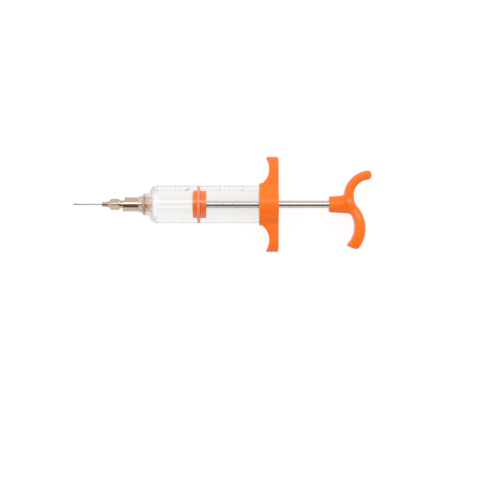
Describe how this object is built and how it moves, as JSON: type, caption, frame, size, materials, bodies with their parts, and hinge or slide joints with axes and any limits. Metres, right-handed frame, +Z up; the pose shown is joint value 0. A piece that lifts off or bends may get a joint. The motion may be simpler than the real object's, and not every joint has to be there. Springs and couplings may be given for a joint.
{
  "type": "veterinary syringe",
  "caption": "Reusable luer-lock syringe: needle on a square hub, clear barrel, sliding piston on a metal rod, finger grip with scooped ears and an S-shaped palm handle.",
  "frame": {"origin": "on the syringe axis, at the front face of the finger grip, where the barrel's straight wall ends", "axes": "+X along the syringe axis towards the palm handle, so the needle points to -X; the ears of the finger grip lie along Y and the tang of the handle is on the +Y side; +Z is up with the syringe lying on its side"},
  "size_m": [0.1996, 0.0636, 0.0282],
  "materials": {
    "stainless": "drawn and polished",
    "plated_brass": "nickel plated, slightly warm",
    "chromed_steel": "bright",
    "bare_brass": "turned",
    "clear_plastic": "clear, polished",
    "orange_plastic": "moulded, glossy",
    "salmon_silicone": "satin",
    "pink_silicone": "satin"
  },
  "bodies": {
    "barrel": {"barrel": "clear_plastic", "luer_fitting": "plated_brass", "tip_gasket": "pink_silicone", "finger_grip": "orange_plastic"},
    "needle": {"cannula": "stainless", "needle_hub": "plated_brass"},
    "seal": {"piston_seal": "salmon_silicone"},
    "plunger": {"piston_front_plate": "orange_plastic", "piston_rear_plate": "orange_plastic", "push_rod": "chromed_steel", "palm_handle": "orange_plastic", "handle_insert": "bare_brass"}
  },
  "joints": [
    {"name": "needle_off", "type": "slide", "parent": "barrel", "child": "needle", "axis": [-1, 0, 0], "range_m": [0, 0.012]},
    {"name": "plunger_slide", "type": "slide", "parent": "barrel", "child": "seal", "axis": [1, 0, 0], "range_m": [-0.0266, 0.0441]},
    {"name": "plunger_turn", "type": "hinge", "parent": "seal", "child": "plunger", "pos_m": [0, 0, 0], "axis": [1, 0, 0], "continuous": true}
  ]
}
